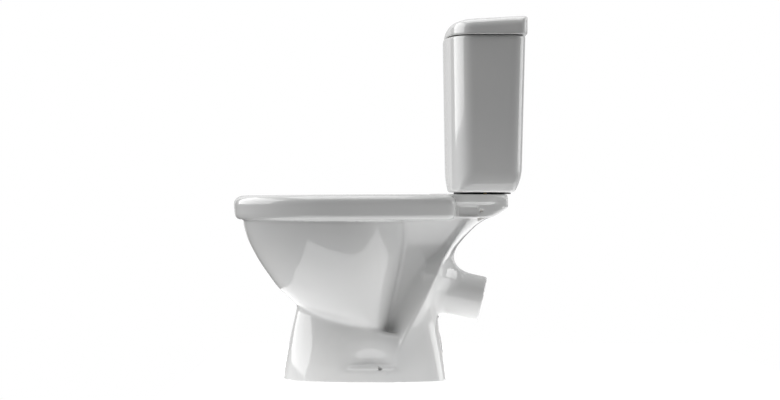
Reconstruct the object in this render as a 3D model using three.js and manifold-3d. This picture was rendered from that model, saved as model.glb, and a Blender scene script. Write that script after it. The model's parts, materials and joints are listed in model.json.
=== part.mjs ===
// Close coupled toilet: china pan with an oblique outlet, china cistern and lid,
// dual flush valve, bottom inlet fill valve and the two coupling bolts.
// Millimetres, +Z up, front towards -Y. The origin is on the floor, under the middle of the object.
import * as THREE from 'three';
import { mergeVertices } from 'three/addons/utils/BufferGeometryUtils.js';
import Module from 'manifold-3d';

const wasm = await Module();
wasm.setup();

// ---------- driving dimensions ----------
const RIM = { top: 400, bottom: 345, front: -314.5, back: 166, half: 178, backHalf: 128, widest: -85 };
const WALL = 10;                      // china wall of pan
const LIP = { half: 134, front: -264, back: 62, thickness: 9, bottom: 352 };
const CHANNEL = { half: 167, front: -303, back: 98, top: 388, bottom: 346 };
const SHELF = { half: 105, front: 130, back: 278, bottom: 380, top: 400.5, cornerRadius: 40 };
const VALVE = { x: 0, y: 225 };       // axis of flush valve and of the buttons
const FILL = { x: -132, y: 225 };     // axis of fill valve
const BOLT = { x: 75, y: 228 };
const TRAP = { boreRadius: 29, tubeRadius: 38 };
const SPIGOT = { endY: 224.4, endZ: 172.7, tilt: 13, outer: 49, inner: 41, length: 120 };
const HINGE_HOLE = { x: 77.5, y: 112, radius: 7.5 };
const FLOOR_HOLE = { x: 110, y: 4, radius: 4.5, lugHeight: 34 };
const TANK = { bottom: 404.5, top: 733.4, wall: 10, floor: 414.5 };
const LID = { bottom: 733.9, wall: 8 };
const CUP_TOP = 768.5;                // floor of the round recess that the button bezel sits in
const GAP = 0.3;                      // kept between pieces that touch

const RING_POINTS = 32;
const ROUND = 20;
const SMALL_ROUND = 12;

// ---------- materials ----------
const material = (name, color, roughness, metalness = 0) =>
  new THREE.MeshStandardMaterial({ name, color, roughness, metalness });
const china = material('glazed_china', 0xf4f4f2, 0.12);
const chrome = material('chrome', 0xd6d8da, 0.12, 1);
const whitePlastic = material('white_plastic', 0xe9e9e6, 0.4);
const greyPlastic = material('grey_plastic', 0xa9adb0, 0.45);
const bluePlastic = material('blue_plastic', 0x3f7fb5, 0.45);
const rubber = material('black_rubber', 0x1d1d1e, 0.85);
const foam = material('grey_foam', 0x2a2b2c, 0.95);
const brass = material('brass', 0xb99a55, 0.35, 1);
const steel = material('zinc_steel', 0xb4b7ba, 0.35, 1);

// ---------- solids ----------
function solid(geometry) {
  const bare = geometry.clone();
  bare.deleteAttribute('normal');
  bare.deleteAttribute('uv');
  const merged = mergeVertices(bare, 1e-4);
  const made = new wasm.Manifold(new wasm.Mesh({
    numProp: 3,
    vertProperties: new Float32Array(merged.attributes.position.array),
    triVerts: new Uint32Array(merged.index.array),
  }));
  if (made.volume() > 0) return made;
  const index = merged.index.array;
  const flipped = new Uint32Array(index.length);
  for (let i = 0; i < index.length; i += 3) flipped.set([index[i], index[i + 2], index[i + 1]], i);
  return new wasm.Manifold(new wasm.Mesh({
    numProp: 3,
    vertProperties: new Float32Array(merged.attributes.position.array),
    triVerts: flipped,
  }));
}

const union = (...parts) => parts.reduce((a, b) => a.add(b));
const cut = (from, ...tools) => tools.reduce((a, b) => a.subtract(b), from);

// the largest closed shell, so that no sealed pocket is left inside a casting
function largest(body) {
  const shells = body.decompose();
  shells.sort((a, b) => b.volume() - a.volume());
  return shells[0];
}

function toGeometry(body) {
  const mesh = body.getMesh();
  const geometry = new THREE.BufferGeometry();
  geometry.setAttribute('position', new THREE.BufferAttribute(mesh.vertProperties, 3));
  geometry.setIndex(new THREE.BufferAttribute(mesh.triVerts, 1));
  geometry.computeVertexNormals();
  return geometry;
}

function box(x0, x1, y0, y1, z0, z1) {
  const geometry = new THREE.BoxGeometry(x1 - x0, y1 - y0, z1 - z0);
  return solid(geometry.translate((x0 + x1) / 2, (y0 + y1) / 2, (z0 + z1) / 2));
}

// a turned piece: profile points are [radius, z]; it is closed on itself or starts and ends on the axis
function turned(profile, x, y, segments = ROUND) {
  const open = profile[0][0] > 0;
  const points = (open ? [...profile, profile[0]] : profile).map(([r, z]) => new THREE.Vector2(r, z));
  const geometry = new THREE.LatheGeometry(points, segments);
  return solid(geometry.rotateX(Math.PI / 2).translate(x, y, 0));
}

const ringProfile = (inner, outer, z0, z1) => [[inner, z0], [outer, z0], [outer, z1], [inner, z1]];
const rodProfile = (radius, z0, z1) => [[0, z0], [radius, z0], [radius, z1], [0, z1]];
const tube = (inner, outer, z0, z1, x, y, segments) =>
  turned(ringProfile(inner, outer, z0, z1), x, y, segments);
const rod = (radius, z0, z1, x, y, segments) => turned(rodProfile(radius, z0, z1), x, y, segments);
const hexagon = (radius, z0, z1, x, y) => rod(radius, z0, z1, x, y, 6);

// a round bar along X
function barX(radius, x0, x1, y, z, segments = SMALL_ROUND) {
  const geometry = new THREE.CylinderGeometry(radius, radius, x1 - x0, segments);
  return solid(geometry.rotateZ(Math.PI / 2).translate((x0 + x1) / 2, y, z));
}

// a round bar along Y
function barY(radius, y0, y1, x, z, segments = SMALL_ROUND) {
  const geometry = new THREE.CylinderGeometry(radius, radius, y1 - y0, segments);
  return solid(geometry.translate(x, (y0 + y1) / 2, z));
}

// skin through closed rings of equal count, with both ends closed
function loft(rings) {
  const count = rings[0].length;
  const middle = (ring) => ring
    .reduce((sum, p) => sum.add(p), new THREE.Vector3())
    .multiplyScalar(1 / count);
  const points = [...rings.flat(), middle(rings[0]), middle(rings.at(-1))];
  const bottom = points.length - 2;
  const top = points.length - 1;
  const faces = [];
  for (let i = 0; i < count; i++) {
    const j = (i + 1) % count;
    for (let r = 0; r + 1 < rings.length; r++) {
      const low = r * count;
      const high = low + count;
      faces.push(low + i, low + j, high + j, low + i, high + j, high + i);
    }
    const last = (rings.length - 1) * count;
    faces.push(bottom, j, i, top, last + i, last + j);
  }
  const geometry = new THREE.BufferGeometry();
  geometry.setAttribute('position', new THREE.Float32BufferAttribute(points.flatMap((p) => p.toArray()), 3));
  geometry.setIndex(faces);
  return solid(geometry);
}

// egg shaped ring: halves in front of and behind the widest line have their own depth and squareness
function egg({ z, front, back, half, widest, frontPower = 2, backPower = 2, count = RING_POINTS }) {
  const ring = [];
  for (let i = 0; i < count; i++) {
    const angle = (2 * Math.PI * i) / count;
    const c = Math.cos(angle);
    const s = Math.sin(angle);
    const power = s < 0 ? frontPower : backPower;
    const reach = s < 0 ? widest - front : back - widest;
    const x = half * Math.sign(c) * Math.abs(c) ** (2 / power);
    const y = widest + reach * Math.sign(s) * Math.abs(s) ** (2 / power);
    ring.push(new THREE.Vector3(x, y, z));
  }
  return ring;
}

// rows are [z, front, back, half, widest]; inset moves the skin inwards on all sides
function eggLoft(rows, { inset = 0, frontPower, backPower, count } = {}) {
  return loft(rows.map(([z, front, back, half, widest]) => egg({
    z, front: front + inset, back: back - inset, half: half - inset, widest, frontPower, backPower, count,
  })));
}

// rounded rectangle in plan
function roundedPlan(half, y0, y1, frontRadius, backRadius) {
  const shape = new THREE.Shape();
  shape.moveTo(-half + frontRadius, y0);
  shape.lineTo(half - frontRadius, y0);
  shape.absarc(half - frontRadius, y0 + frontRadius, frontRadius, -Math.PI / 2, 0);
  shape.absarc(half - backRadius, y1 - backRadius, backRadius, 0, Math.PI / 2);
  shape.absarc(-half + backRadius, y1 - backRadius, backRadius, Math.PI / 2, Math.PI);
  shape.absarc(-half + frontRadius, y0 + frontRadius, frontRadius, Math.PI, Math.PI * 1.5);
  return shape;
}

function slab(shape, z0, z1) {
  const geometry = new THREE.ExtrudeGeometry(shape, { depth: z1 - z0, bevelEnabled: false, curveSegments: 6 });
  return solid(geometry.translate(0, 0, z0));
}

// round bar swept along a smooth curve through points in the middle plane, given as [y, z]
function swept(radius, route, steps) {
  const curve = new THREE.CatmullRomCurve3(route.map(([y, z]) => new THREE.Vector3(0, y, z)));
  const section = new THREE.Shape().absarc(0, 0, radius, 0, 2 * Math.PI);
  return solid(new THREE.ExtrudeGeometry(section, { extrudePath: curve, steps, curveSegments: 8 }));
}

// ---------- pan ----------
// belly of the bowl, from its lowest tip at the foot up to the rim
const BELLY = [
  [92, -60, 12, 50, -30],
  [112, -112, 22, 76, -42],
  [149, -181, 45, 102, -55],
  [175, -192, 58, 114, -60],
  [201, -218, 70, 124, -65],
  [253, -256, 88, 142, -72],
  [305, -283, 102, 157, -80],
  [346, -293, 112, 166, -85],
];
const PEDESTAL = [
  [0, -207, 147, 122, -20],
  [30, -202, 144, 119, -20],
  [84, -192, 135, 104, -25],
  [123, -184, 130, 90, -30],
  [152, -176, 118, 80, -35],
  [190, -140, 100, 66, -35],
];
const NECK = [
  [80, -60, 110, 60, 30],
  [150, -60, 130, 66, 40],
  [250, -60, 150, 84, 60],
  [346, -60, 200, 108, 80],
];
// strut: its widest line is the ridge that runs from the shelf down to the foot
const STRUT = [
  [30, 4, 143, 108, 34],
  [84, 8, 134, 100, 50],
  [123, 24, 130, 96, 66],
  [161, 38, 148, 92, 88],
  [200, 58, 158, 90, 112],
  [246, 84, 161, 90, 131],
  [270, 104, 163, 91, 144],
  [303, 134, 184, 94, 160],
  [333, 154, 212, 98, 176],
  [355, 160, 251, 98, 190],
  [373, 160, 276, 98, 200],
  [384, 160, 277, 98, 204],
];
// water side of the bowl, down to the sump
const BOWL = [
  [72, -46, 14, 30, -16],
  [100, -66, 18, 40, -24],
  [150, -128, 34, 66, -40],
  [201, -196, 58, 102, -60],
  [253, -238, 74, 126, -70],
  [305, -268, 84, 144, -78],
  [349, -282, 92, 154, -85],
];
// hollow box under the shelf, cut back in a curve below the rear edge
const SHELF_BOX = [
  [346, 130, 238, 96, 190],
  [356, 130, 254, 98, 192],
  [368, 130, 270, 98, 200],
  [382, 130, 277, 98, 205],
];
const TRAP_ROUTE = [[-18, 108], [12, 100], [52, 122], [82, 176], [116, 207], [158, 190], [200, 178.4]];

// rim outline: an egg in front, then sides that draw in to a square rear edge
function rimRing(z, inset) {
  const ring = [];
  const half = RIM.half - inset;
  const frontSteps = 20;
  for (let i = 0; i <= frontSteps; i++) {
    const angle = Math.PI + (Math.PI * i) / frontSteps;
    const y = RIM.widest + (RIM.widest - RIM.front - inset) * Math.sin(angle);
    ring.push(new THREE.Vector3(half * Math.cos(angle), y, z));
  }
  const side = [];
  const sideSteps = 6;
  for (let i = 1; i <= sideSteps; i++) {
    const t = i / sideSteps;
    const y = RIM.widest + (RIM.back - RIM.widest - inset) * t;
    side.push([half - (RIM.half - RIM.backHalf) * t ** 1.8, y]);
  }
  for (const [x, y] of side) ring.push(new THREE.Vector3(x, y, z));
  for (const [x, y] of side.reverse()) ring.push(new THREE.Vector3(-x, y, z));
  return ring;
}

function rimBand() {
  return loft([
    rimRing(RIM.bottom, 9),
    rimRing(RIM.bottom + 5, 2.5),
    rimRing(RIM.bottom + 12, 0.6),
    rimRing(RIM.top - 14, 0),
    rimRing(RIM.top - 5, 2.5),
    rimRing(RIM.top, 11),
  ]);
}

const eggPrism = ({ front, back, half }, z0, z1, inset = 0) => loft([z0, z1].map((z) => egg({
  z, front: front + inset, back: back - inset, half: half - inset, widest: RIM.widest,
})));

// groove under the rim that spreads the flush water, open into the bowl below the lip
function flushChannel() {
  const outer = eggPrism(CHANNEL, CHANNEL.bottom, CHANNEL.top);
  const lip = eggPrism(LIP, CHANNEL.bottom - 1, CHANNEL.top + 1, -LIP.thickness);
  const passage = box(-44, 44, 78, 262, 360, CHANNEL.top);
  const inlet = rod(47.5, CHANNEL.top - 6, SHELF.top + 1, VALVE.x, VALVE.y);
  return union(cut(outer, lip), passage, inlet);
}

function spigotFrame(body) {
  return body
    .rotate([90 - SPIGOT.tilt, 0, 0])
    .translate([0, SPIGOT.endY, SPIGOT.endZ]);
}

// flared pipe; the profile runs from the end face inwards, before it is laid along its axis
function spigotOuter() {
  const { outer, length } = SPIGOT;
  return spigotFrame(turned([
    [0, 0], [outer - 2, 0], [outer, 2], [outer, 32], [outer + 3, 47],
    [outer + 10, 60], [outer + 14, 66], [outer + 6, length], [0, length],
  ], 0, 0, 32));
}

function spigotBore() {
  const { inner } = SPIGOT;
  return spigotFrame(turned([
    [0, -2], [inner, -2], [inner, 62], [TRAP.boreRadius, 84], [0, 84],
  ], 0, 0, 28));
}

// solid lug inside the foot, around the hole for a floor screw
function floorLug(side) {
  const x = side * 105;
  return box(x - 11, x + 11, FLOOR_HOLE.y - 16, FLOOR_HOLE.y + 16, 0, FLOOR_HOLE.lugHeight);
}

// hollow in the side of the foot that gives the floor screw its seat
function floorScoop(side) {
  const geometry = new THREE.SphereGeometry(1, 14, 10);
  return solid(geometry.scale(15, 50, 30).translate(side * 121, FLOOR_HOLE.y - 16, 63));
}

function makePan() {
  const outside = union(
    eggLoft(BELLY, { frontPower: 2.15, backPower: 2.1 }),
    eggLoft(PEDESTAL, { frontPower: 2.3, backPower: 3.2 }),
    eggLoft(NECK, { backPower: 2.6 }),
    eggLoft(STRUT, { frontPower: 2, backPower: 2.2 }),
  );
  const inside = union(
    eggLoft([[60, -58, 12, 60, -30], ...BELLY.slice(1, 6), [280, -270, 96, 150, -76]],
      { inset: WALL, frontPower: 2.15, backPower: 2.1 }),
    eggLoft([[-1, -207, 147, 122, -20], ...PEDESTAL.slice(1, 5)],
      { inset: WALL + 3, frontPower: 2.3, backPower: 3.2 }),
    eggLoft([...NECK.slice(0, 3), [335, -60, 188, 106, 78]], { inset: WALL, backPower: 2.6 }),
    eggLoft(STRUT.slice(0, 9), { inset: WALL + 1, frontPower: 2, backPower: 2.2 }),
  );
  const bowlShell = eggLoft([[60, -50, 18, 34, -16], ...BOWL.slice(1)], { inset: -WALL });
  const shelfPlan = roundedPlan(SHELF.half, SHELF.front, SHELF.back, 4, SHELF.cornerRadius);
  const shelf = slab(shelfPlan, SHELF.bottom, SHELF.top);
  const casting = union(
    cut(outside, inside),
    bowlShell,
    swept(TRAP.tubeRadius, TRAP_ROUTE, 18),
    spigotOuter(),
    rimBand(),
    shelf,
    eggLoft(SHELF_BOX, { frontPower: 5, backPower: 3.6 }),
    floorLug(1),
    floorLug(-1),
  );
  const holes = [1, -1].flatMap((side) => [
    box(side * 74 - 16, side * 74 + 16, 100, 146, 320, CHANNEL.top),
    floorScoop(side),
    rod(6, SHELF.bottom - 5, SHELF.top + 1, side * BOLT.x, BOLT.y, SMALL_ROUND),
    rod(19, 325, 383.8, side * BOLT.x, BOLT.y, SMALL_ROUND),
    rod(HINGE_HOLE.radius, 320, RIM.top + 1, side * HINGE_HOLE.x, HINGE_HOLE.y, SMALL_ROUND),
    rod(FLOOR_HOLE.radius, -1, FLOOR_HOLE.lugHeight + 26, side * FLOOR_HOLE.x, FLOOR_HOLE.y, 12),
    barX(3, side > 0 ? 85 : -110, side > 0 ? 110 : -85, 219, 366, 10),
  ]);
  return largest(cut(
    casting,
    eggLoft(BOWL),
    eggPrism(LIP, CHANNEL.bottom, RIM.top + 1),
    flushChannel(),
    swept(TRAP.boreRadius, TRAP_ROUTE, 18),
    spigotBore(),
    ...holes,
  ));
}

// ---------- cistern ----------
// plan of tank and lid: a broad rounded front, straight sides and tighter rear corners
function tankRing(z, { front, back, half, frontDepth = 62, backRadius = 20, slope = 0 }) {
  const ring = [];
  const frontSteps = 20;
  const square = 3.1;
  const lift = (y) => z + slope * (y - back);
  for (let i = 0; i <= frontSteps; i++) {
    const angle = Math.PI + (Math.PI * i) / frontSteps;
    const c = Math.cos(angle);
    const x = half * Math.sign(c) * Math.abs(c) ** (2 / square);
    const y = front + frontDepth - frontDepth * Math.abs(Math.sin(angle)) ** (2 / square);
    ring.push(new THREE.Vector3(x, y, lift(y)));
  }
  const cornerSteps = 4;
  for (const side of [1, -1]) {
    for (let i = 0; i <= cornerSteps; i++) {
      const step = side > 0 ? i : cornerSteps - i;
      const angle = (Math.PI / 2) * (step / cornerSteps);
      const x = side * (half - backRadius + backRadius * Math.cos(angle));
      const y = back - backRadius + backRadius * Math.sin(angle);
      ring.push(new THREE.Vector3(x, y, lift(y)));
    }
  }
  return ring;
}

function makeCistern() {
  const outer = loft([
    tankRing(TANK.bottom, { front: 152, back: 288, half: 158 }),
    tankRing(408, { front: 147, back: 293, half: 163 }),
    tankRing(429, { front: 145, back: 302.5, half: 175 }),
    tankRing(TANK.top - 2, { front: 140, back: 310, half: 183 }),
    tankRing(TANK.top, { front: 141.5, back: 308.5, half: 181.5 }),
  ]);
  const inner = loft([
    tankRing(TANK.floor, { front: 160, back: 284, half: 156, frontDepth: 54, backRadius: 14 }),
    tankRing(432, { front: 155, back: 292, half: 165, frontDepth: 54, backRadius: 14 }),
    tankRing(TANK.top + 1, { front: 150, back: 300, half: 173, frontDepth: 54, backRadius: 14 }),
  ]);
  const boltHoles = [1, -1].map((side) =>
    rod(6, TANK.bottom - 1, TANK.floor + 1, side * BOLT.x, BOLT.y, SMALL_ROUND));
  return cut(
    outer,
    inner,
    rod(31, TANK.bottom - 1, TANK.floor + 1, VALVE.x, VALVE.y),
    rod(11.5, TANK.bottom - 1, TANK.floor + 1, FILL.x, FILL.y, SMALL_ROUND),
    ...boltHoles,
  );
}

function makeLid() {
  const slope = 0.058;
  const skin = (z, front, back, half, top, frontDepth) =>
    tankRing(z, { front, back, half, frontDepth, slope: top ? slope : 0 });
  const outer = loft([
    skin(LID.bottom, 142.5, 312.5, 185.5, false),
    skin(LID.bottom + 2, 140.5, 314.2, 187.5, false),
    skin(746, 145, 314.5, 186.5, false),
    skin(765, 156, 313, 181, true),
    skin(773, 167, 309, 173, true),
    skin(776.6, 180, 302, 162, true),
  ]);
  const inner = loft([
    skin(LID.bottom - 1, 153, 303, 176, false, 54),
    skin(744, 156, 303, 175, false, 54),
    skin(760, 170, 300, 166, true, 48),
    skin(766, 184, 294, 154, true, 40),
  ]);
  return cut(
    outer,
    inner,
    rod(27, CUP_TOP, 800, VALVE.x, VALVE.y),
    rod(21.2, 740, 800, VALVE.x, VALVE.y),
  );
}

// ---------- button set ----------
const BUTTON = { radius: 18.9, split: 3.2, bottom: 763, top: 772.4, travel: 7 };
const FULL_ROD = { x: -10, y: 219.5 };
const HALF_ROD = { x: 10, y: 231.5 };
const ROD = { radius: 2.5, bottom: 692.4 };

const makeBezel = () => turned([
  [19.6, 738], [20.8, 738], [20.8, CUP_TOP + GAP], [25.6, CUP_TOP + GAP],
  [25.2, CUP_TOP + 2], [22.5, CUP_TOP + 3.6], [19.6, CUP_TOP + 3],
], VALVE.x, VALVE.y, 32);

const makeBezelNut = () => union(
  tube(21.1, 27, 751, 758.5, VALVE.x, VALVE.y),
  ...[0, 1, 2, 3].map((k) => {
    const wing = new THREE.BoxGeometry(8, 7, 7.5).translate(29, 0, 754.75).rotateZ((k * Math.PI) / 2);
    return solid(wing.translate(VALVE.x, VALVE.y, 0));
  }),
);

function makeButton(full) {
  const disc = turned([
    [0, BUTTON.bottom], [BUTTON.radius, BUTTON.bottom], [BUTTON.radius, BUTTON.top - 1],
    [BUTTON.radius - 1.2, BUTTON.top], [0, BUTTON.top],
  ], VALVE.x, VALVE.y, 32);
  const away = full
    ? box(BUTTON.split - 0.3, 30, 190, 260, 740, 790)
    : box(-30, BUTTON.split + 0.3, 190, 260, 740, 790);
  return disc.subtract(away);
}

const makeRod = ({ x, y }) => union(
  rod(ROD.radius, ROD.bottom, BUTTON.bottom - GAP, x, y, 10),
  rod(4, BUTTON.bottom - 6, BUTTON.bottom - GAP, x, y, 10),
);

// ---------- flush valve ----------
const CAGE = { bottom: 423.4, plate: 500, top: 696, postX: 34 };
const PIVOT = { z: 686, radius: 1.6 };
const TUBE = { inner: 10.5, outer: 12.5, bottom: 431, top: 652 };

const makeValveBase = () => turned([
  [25, 372], [28.4, 372], [29.6, 376], [29.6, 418.2], [41, 418.2], [41, 423], [29, 423], [28, 427], [25, 427],
], VALVE.x, VALVE.y);
const makeValveWasher = () => tube(30.2, 41, TANK.floor + GAP, 417.9, VALVE.x, VALVE.y);
const makeValveBacknut = () => turned([
  [30, 394], [37, 394], [43, 396], [43, 404.1], [30, 404.1],
], VALVE.x, VALVE.y);
const makeCouplingGasket = () => turned([
  [44, 392], [47, 392], [47, 401], [62, 401], [62, 404.1], [44, 404.1],
], VALVE.x, VALVE.y);

function makeCage() {
  const { bottom, plate, top, postX } = CAGE;
  const legs = [45, 135, 225, 315].map((degrees) => {
    const leg = new THREE.BoxGeometry(4, 12, plate - bottom).translate(36, 0, (plate + bottom) / 2);
    return solid(leg.rotateZ(THREE.MathUtils.degToRad(degrees)).translate(VALVE.x, VALVE.y, 0));
  });
  const posts = [-1, 1].map((side) => {
    const x = side * postX;
    return box(x - 3, x + 3, VALVE.y - 17, VALVE.y + 17, plate + 2, top);
  });
  const frames = [-1, 1].map((side) => {
    const y = VALVE.y + side * 15.5;
    return box(-postX, postX, y - 1.5, y + 1.5, top - 14, top);
  });
  const pinHole = barY(PIVOT.radius + GAP, VALVE.y - 20, VALVE.y + 20, 0, PIVOT.z, 12);
  return cut(union(
    tube(34.5, 40, bottom, bottom + 8, VALVE.x, VALVE.y),
    ...legs,
    tube(14.5, 40, plate, plate + 5, VALVE.x, VALVE.y),
    ...posts,
    ...frames,
  ), pinHole);
}

const makePivotPin = () => barY(PIVOT.radius, VALVE.y - 18.5, VALVE.y + 18.5, 0, PIVOT.z, 12);

// lever from the foot of its push rod, over the pin, to the hook of the overflow tube
function makeRocker(side, y) {
  const arm = box(-14.5, 17, y - 3.5, y + 3.5, PIVOT.z - 1, PIVOT.z + 3);
  const hub = barY(5, y - 3.5, y + 3.5, 0, PIVOT.z);
  const bore = barY(PIVOT.radius + GAP, y - 5, y + 5, 0, PIVOT.z, 12);
  const lever = union(arm, hub).subtract(bore);
  return side > 0 ? lever : lever.mirror([1, 0, 0]);
}

// overflow tube with the seal plate at its foot and a hook at its head
function makeOverflowTube() {
  const pipe = turned([
    [TUBE.inner, TUBE.bottom], [31, TUBE.bottom], [31, TUBE.bottom + 3.5], [TUBE.outer, TUBE.bottom + 6],
    [TUBE.outer, TUBE.top], [TUBE.inner, TUBE.top],
  ], VALVE.x, VALVE.y);
  const collar = tube(TUBE.inner, 16, TUBE.top - 12, TUBE.top - 6, VALVE.x, VALVE.y);
  const bracket = box(11, 20.5, FULL_ROD.y - 3, FULL_ROD.y + 3, TUBE.top - 12, TUBE.top - 6);
  return union(pipe, collar, bracket, hook(FULL_ROD.y, TUBE.top - 10));
}

// strap with a bar across its head, which rests over the end of a rocker
function hook(y, foot) {
  const strap = box(18, 20.5, y - 3, y + 3, foot, PIVOT.z + 9);
  const bar = box(12, 20.5, y - 3, y + 3, PIVOT.z + 6, PIVOT.z + 9);
  return union(strap, bar);
}

// link from the half flush rocker down to the latch above the float
function makeHalfFlushLink() {
  const foot = box(18, 30, HALF_ROD.y - 3, HALF_ROD.y + 3, 600, 603);
  return union(hook(HALF_ROD.y, 600), foot).mirror([1, 0, 0]);
}

const makeFlushSeal = () => turned([
  [10.8, 427.5], [32.5, 427.5], [33.5, 429], [32.5, 430.7], [10.8, 430.7],
], VALVE.x, VALVE.y);
const makeHalfFlushFloat = () => turned([
  [12.9, 540], [23, 540], [25, 544], [25, 576], [15, 580], [12.9, 580],
], VALVE.x, VALVE.y);

// ---------- fill valve ----------
const HEAD = { bottom: 655, top: 684 };
const LEVER = { y: FILL.y + 8, z: 692, end: FILL.y + 38 };
const FLOAT = { inner: 11, outer: 29, bottom: 540, top: 600 };
const OUTLET = { x: FILL.x + 37, radius: 6 };

const makeFillRiser = () => turned([
  [5.5, 362], [8.6, 362], [10.2, 365], [10.2, 418.2], [15, 418.2], [15, 423], [9, 424], [9, HEAD.bottom - GAP],
  [5.5, HEAD.bottom - GAP],
], FILL.x, FILL.y, SMALL_ROUND);
const makeFillWasher = () => tube(10.8, 16, TANK.floor + GAP, 417.9, FILL.x, FILL.y, SMALL_ROUND);
const makeFillBacknut = () => union(
  hexagon(17, 393, 401, FILL.x, FILL.y),
  rod(19, 401, 404.1, FILL.x, FILL.y, SMALL_ROUND),
).subtract(rod(10.6, 390, 406, FILL.x, FILL.y, SMALL_ROUND));
const makeInletFilter = () => turned([
  [0, 366], [4.6, 366], [4.6, 368], [2.6, 388], [0, 388],
], FILL.x, FILL.y, 12);

function makeFillHead() {
  const cup = turned([
    [0, HEAD.bottom], [15, HEAD.bottom], [18, HEAD.bottom + 4], [18, HEAD.top - 4], [14, HEAD.top], [0, HEAD.top],
  ], FILL.x, FILL.y);
  const spout = barX(6, FILL.x + 10, OUTLET.x, FILL.y, HEAD.bottom + 14);
  const elbow = rod(7.5, HEAD.bottom + 5, HEAD.bottom + 21, OUTLET.x, FILL.y, SMALL_ROUND);
  const ears = [-1, 1].map((side) => {
    const x = FILL.x + side * 7;
    return box(x - 1.5, x + 1.5, LEVER.y - 6, LEVER.y + 6, HEAD.top - 4, LEVER.z + 4);
  });
  return union(cup, spout, elbow, ...ears);
}

function makeFillLever() {
  const arm = box(FILL.x - 4, FILL.x + 4, FILL.y - 8, LEVER.end, LEVER.z - 2, LEVER.z + 2);
  const hub = barX(4, FILL.x - 5, FILL.x + 5, LEVER.y, LEVER.z);
  const eye = rod(3, LEVER.z - 6, LEVER.z + 6, FILL.x, LEVER.end - 6, 12);
  return union(arm, hub).subtract(eye);
}

const makeFillFloat = () => turned([
  [FLOAT.inner, FLOAT.bottom], [FLOAT.outer, FLOAT.bottom], [FLOAT.outer, FLOAT.top - 4],
  [FLOAT.outer - 4, FLOAT.top], [FLOAT.inner, FLOAT.top],
], FILL.x, FILL.y);
const makeFloatRod = () => union(
  rod(1.5, FLOAT.top + GAP, LEVER.z + 5, FILL.x, LEVER.end - 6, 8),
  rod(4, LEVER.z - 8, LEVER.z - 4.2, FILL.x, LEVER.end - 6, 12),
  box(FILL.x - 5, FILL.x + 5, LEVER.end - 26, LEVER.end - 3, FLOAT.top + GAP, FLOAT.top + 3),
).subtract(rod(9.6, FLOAT.top - 2, FLOAT.top + 6, FILL.x, FILL.y, SMALL_ROUND));
const makeOutletTube = () => tube(4.6, OUTLET.radius, 440, HEAD.bottom + 5 - GAP, OUTLET.x, FILL.y, SMALL_ROUND);

// ---------- coupling bolts ----------
const makeBolt = (x) => union(
  rod(4, 352, 421, x, BOLT.y, 12),
  turned([[0, 420.4], [9, 420.4], [9, 423], [7, 425], [0, 425]], x, BOLT.y, SMALL_ROUND),
).subtract(box(x - 8, x + 8, BOLT.y - 0.8, BOLT.y + 0.8, 423.4, 430));
const makeConeWasher = (x) => turned([
  [4.4, TANK.floor + GAP], [12, TANK.floor + GAP], [12, 416.5], [9, 420.1], [4.4, 420.1],
], x, BOLT.y, SMALL_ROUND);
const makeRubberWasher = (x) => tube(4.4, 14, 380.4, 383.4, x, BOLT.y, SMALL_ROUND);
const makeSteelWasher = (x) => tube(4.4, 12, 378.4, 380.1, x, BOLT.y, SMALL_ROUND);
function makeWingNut(x) {
  const wings = box(x - 2, x + 2, BOLT.y - 15, BOLT.y + 15, 368, 377);
  const body = turned([[0, 368], [7, 368], [8.5, 378.1], [0, 378.1]], x, BOLT.y, SMALL_ROUND);
  return union(body, wings).subtract(rod(4.4, 360, 380, x, BOLT.y, 12));
}

// ---------- assembly ----------
const toilet = new THREE.Group();
toilet.name = 'close_coupled_toilet';

function place(name, body, finish) {
  const mesh = new THREE.Mesh(toGeometry(body), finish);
  mesh.name = name;
  toilet.add(mesh);
}

place('pan', makePan(), china);
place('cistern', makeCistern(), china);
place('cistern_lid', makeLid(), china);
place('button_bezel', makeBezel(), chrome);
place('button_nut', makeBezelNut(), whitePlastic);
place('full_flush_button', makeButton(true), chrome);
place('half_flush_button', makeButton(false), chrome);
place('full_flush_rod', makeRod(FULL_ROD), whitePlastic);
place('half_flush_rod', makeRod(HALF_ROD), bluePlastic);
place('coupling_gasket', makeCouplingGasket(), foam);
place('flush_valve_base', makeValveBase(), whitePlastic);
place('flush_valve_washer', makeValveWasher(), rubber);
place('flush_valve_backnut', makeValveBacknut(), whitePlastic);
place('flush_valve_cage', makeCage(), whitePlastic);
place('valve_pivot_pin', makePivotPin(), steel);
place('full_flush_rocker', makeRocker(1, FULL_ROD.y), greyPlastic);
place('half_flush_rocker', makeRocker(-1, HALF_ROD.y), bluePlastic);
place('overflow_tube', makeOverflowTube(), greyPlastic);
place('flush_seal', makeFlushSeal(), rubber);
place('half_flush_float', makeHalfFlushFloat(), bluePlastic);
place('half_flush_link', makeHalfFlushLink(), bluePlastic);
place('fill_valve_riser', makeFillRiser(), whitePlastic);
place('fill_valve_washer', makeFillWasher(), rubber);
place('fill_valve_backnut', makeFillBacknut(), brass);
place('inlet_filter', makeInletFilter(), greyPlastic);
place('fill_valve_head', makeFillHead(), whitePlastic);
place('fill_valve_lever', makeFillLever(), greyPlastic);
place('fill_float', makeFillFloat(), whitePlastic);
place('float_rod', makeFloatRod(), bluePlastic);
place('fill_outlet_tube', makeOutletTube(), whitePlastic);
for (const [side, x] of [['right', BOLT.x], ['left', -BOLT.x]]) {
  place(`coupling_bolt_${side}`, makeBolt(x), brass);
  place(`cone_washer_${side}`, makeConeWasher(x), rubber);
  place(`rubber_washer_${side}`, makeRubberWasher(x), rubber);
  place(`steel_washer_${side}`, makeSteelWasher(x), steel);
  place(`wing_nut_${side}`, makeWingNut(x), brass);
}

export default toilet;
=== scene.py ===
"""Close coupled toilet: china as smooth implicit shapes, fittings as turned and bevelled pieces."""
import math

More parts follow.
